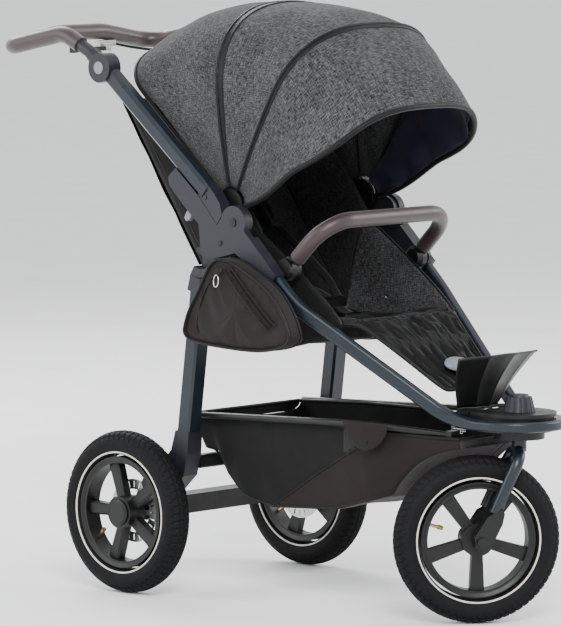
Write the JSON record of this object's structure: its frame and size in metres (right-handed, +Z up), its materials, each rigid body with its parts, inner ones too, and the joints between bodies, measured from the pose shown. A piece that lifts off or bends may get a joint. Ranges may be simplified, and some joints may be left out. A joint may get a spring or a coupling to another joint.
{
  "type": "baby stroller",
  "caption": "Three-wheeled folding stroller with air tyres, swivelling front wheel, adjustable handlebar, folding canopy, reclining seat, leg rest, footrest, bumper bar and basket.",
  "frame": {"origin": "on the floor under the middle of the bounding box", "axes": "+Z up, the stroller faces -Y, +X is the child's left"},
  "size_m": [0.536, 1.2131, 1.096],
  "materials": {
    "frame_paint": "satin navy-anthracite",
    "housing_plastic": "fine grain grey",
    "black_plastic": "moulded black",
    "light_plastic": "light grey",
    "steel": "brushed",
    "brass": "satin",
    "tyre_rubber": "matt with tread",
    "cable_sheath": "satin",
    "brown_leatherette": "satin leatherette",
    "melange_fabric": "grey melange weave",
    "black_fabric": "black polyester",
    "bag_fabric": "brown-black polyester"
  },
  "bodies": {
    "frame": {"front_frame": "frame_paint", "hinge_housings": "housing_plastic", "hinge_bolts": "steel", "basket_rails": "frame_paint", "steering_head": "black_plastic", "head_cover": "black_plastic", "canopy_hubs": "black_plastic", "canopy_rear_panel": "melange_fabric", "seat_cushion": "melange_fabric", "side_panels": "black_fabric", "harness_buckle": "black_plastic", "bumper_mounts": "black_plastic", "footrest": "black_plastic", "footrest_base": "black_plastic", "basket": "black_fabric", "side_bag": "bag_fabric"},
    "push_bar": {"push_bars": "frame_paint", "push_bar_sockets": "housing_plastic", "adjuster_shells": "housing_plastic"},
    "handlebar": {"adjuster_discs": "housing_plastic", "handlebar_tube": "housing_plastic", "handlebar_grip": "brown_leatherette", "brake_bracket": "steel", "brake_cable": "cable_sheath"},
    "brake_lever": {"brake_lever": "black_plastic"},
    "adjuster_button_left": {"adjuster_button_left": "light_plastic"},
    "adjuster_button_right": {"adjuster_button_right": "light_plastic"},
    "release_lever_left": {"release_lever_left": "light_plastic"},
    "release_lever_right": {"release_lever_right": "light_plastic"},
    "rear_legs": {"rear_legs": "frame_paint", "leg_sockets": "housing_plastic", "rear_axle_beam": "frame_paint", "rear_crossbar": "frame_paint", "rear_axle": "steel", "brake_calipers": "black_plastic"},
    "rear_wheel_left": {"rear_tyre_left": "tyre_rubber", "rear_rim_left": "black_plastic", "rear_valve_left": "brass", "brake_disc_left": "steel"},
    "rear_wheel_right": {"rear_tyre_right": "tyre_rubber", "rear_rim_right": "black_plastic", "rear_valve_right": "brass", "brake_disc_right": "steel"},
    "caster": {"fork": "frame_paint", "fork_dropouts": "black_plastic", "front_axle": "steel"},
    "front_wheel": {"front_tyre": "tyre_rubber", "front_rim": "black_plastic", "front_valve": "brass"},
    "swivel_knob": {"swivel_knob": "housing_plastic"},
    "canopy_bow_1": {"canopy_bow_1": "black_plastic"},
    "canopy_bow_2": {"canopy_bow_2": "black_plastic", "canopy_mid_panel": "melange_fabric"},
    "canopy_front": {"canopy_front_bow": "black_plastic", "canopy_front_panel": "melange_fabric"},
    "backrest": {"backrest": "melange_fabric", "shoulder_pads": "black_fabric"},
    "leg_rest": {"leg_rest": "black_fabric"},
    "bumper": {"bumper_bar": "brown_leatherette", "bumper_ends": "black_plastic"}
  },
  "joints": [
    {"name": "fold", "type": "hinge", "parent": "frame", "child": "push_bar", "pos_m": [0, -0.026, 0.695], "axis": [1, 0, 0], "range_deg": [0, 150], "deforming": ["basket"]},
    {"name": "leg_fold", "type": "hinge", "parent": "frame", "child": "rear_legs", "pos_m": [0, 0.062, 0.64], "axis": [1, 0, 0], "range_deg": [-36, 0]},
    {"name": "handle_tilt", "type": "hinge", "parent": "push_bar", "child": "handlebar", "pos_m": [0, 0.312, 0.962], "axis": [1, 0, 0], "range_deg": [-50, 45]},
    {"name": "brake_squeeze", "type": "hinge", "parent": "handlebar", "child": "brake_lever", "pos_m": [0.055, 0.57, 0.981], "axis": [0, -1, 0], "range_deg": [0, 6], "stiffness_Nm_per_rad": 1, "springref_deg": -5.73},
    {"name": "button_left_press", "type": "slide", "parent": "handlebar", "child": "adjuster_button_left", "axis": [-1, 0, 0], "range_m": [0, 0.004], "stiffness_N_per_m": 400, "springref_m": -0.001},
    {"name": "button_right_press", "type": "slide", "parent": "handlebar", "child": "adjuster_button_right", "axis": [1, 0, 0], "range_m": [0, 0.004], "stiffness_N_per_m": 400, "springref_m": -0.001},
    {"name": "release_left_pull", "type": "hinge", "parent": "frame", "child": "release_lever_left", "pos_m": [0.201, 0.1, 0.708], "axis": [1, 0, 0], "range_deg": [-8, 0], "stiffness_Nm_per_rad": 0.3, "springref_deg": 5.73},
    {"name": "release_right_pull", "type": "hinge", "parent": "frame", "child": "release_lever_right", "pos_m": [-0.201, 0.1, 0.708], "axis": [1, 0, 0], "range_deg": [-8, 0], "stiffness_Nm_per_rad": 0.3, "springref_deg": 5.73},
    {"name": "rear_spin_left", "type": "hinge", "parent": "rear_legs", "child": "rear_wheel_left", "pos_m": [0.24, 0.22, 0.15], "axis": [1, 0, 0], "continuous": true},
    {"name": "rear_spin_right", "type": "hinge", "parent": "rear_legs", "child": "rear_wheel_right", "pos_m": [-0.24, 0.22, 0.15], "axis": [1, 0, 0], "continuous": true},
    {"name": "caster_swivel", "type": "hinge", "parent": "frame", "child": "caster", "pos_m": [0, -0.524, 0.32], "axis": [0, 0, 1], "continuous": true},
    {"name": "front_spin", "type": "hinge", "parent": "caster", "child": "front_wheel", "pos_m": [-0.0616, -0.4778, 0.15], "axis": [0.6, 0.8, 0], "continuous": true},
    {"name": "swivel_lock", "type": "hinge", "parent": "frame", "child": "swivel_knob", "pos_m": [0, -0.524, 0.38], "axis": [0, 0, 1], "range_deg": [0, 90]},
    {"name": "canopy_fold", "type": "hinge", "parent": "frame", "child": "canopy_bow_1", "pos_m": [0, 0.013, 0.722], "axis": [1, 0, 0], "range_deg": [-22, 0]},
    {"name": "canopy_fold_2", "type": "hinge", "parent": "canopy_bow_1", "child": "canopy_bow_2", "pos_m": [0, 0.013, 0.722], "axis": [1, 0, 0], "range_deg": [-22, 0]},
    {"name": "canopy_fold_3", "type": "hinge", "parent": "canopy_bow_2", "child": "canopy_front", "pos_m": [0, 0.013, 0.722], "axis": [1, 0, 0], "range_deg": [-22, 0]},
    {"name": "recline", "type": "hinge", "parent": "frame", "child": "backrest", "pos_m": [0, 0.048, 0.498], "axis": [1, 0, 0], "range_deg": [-35, 3]},
    {"name": "leg_rest_raise", "type": "hinge", "parent": "frame", "child": "leg_rest", "pos_m": [0, -0.236, 0.512], "axis": [1, 0, 0], "range_deg": [-30, 0]},
    {"name": "bumper_tilt", "type": "hinge", "parent": "frame", "child": "bumper", "pos_m": [0, -0.126, 0.615], "axis": [1, 0, 0], "range_deg": [0, 50]}
  ],
  "couplings": [
    {"joint": "leg_fold", "follows": "fold", "ratio": -0.24},
    {"joint": "canopy_fold_2", "follows": "canopy_fold", "ratio": 1},
    {"joint": "canopy_fold_3", "follows": "canopy_fold", "ratio": 1}
  ]
}
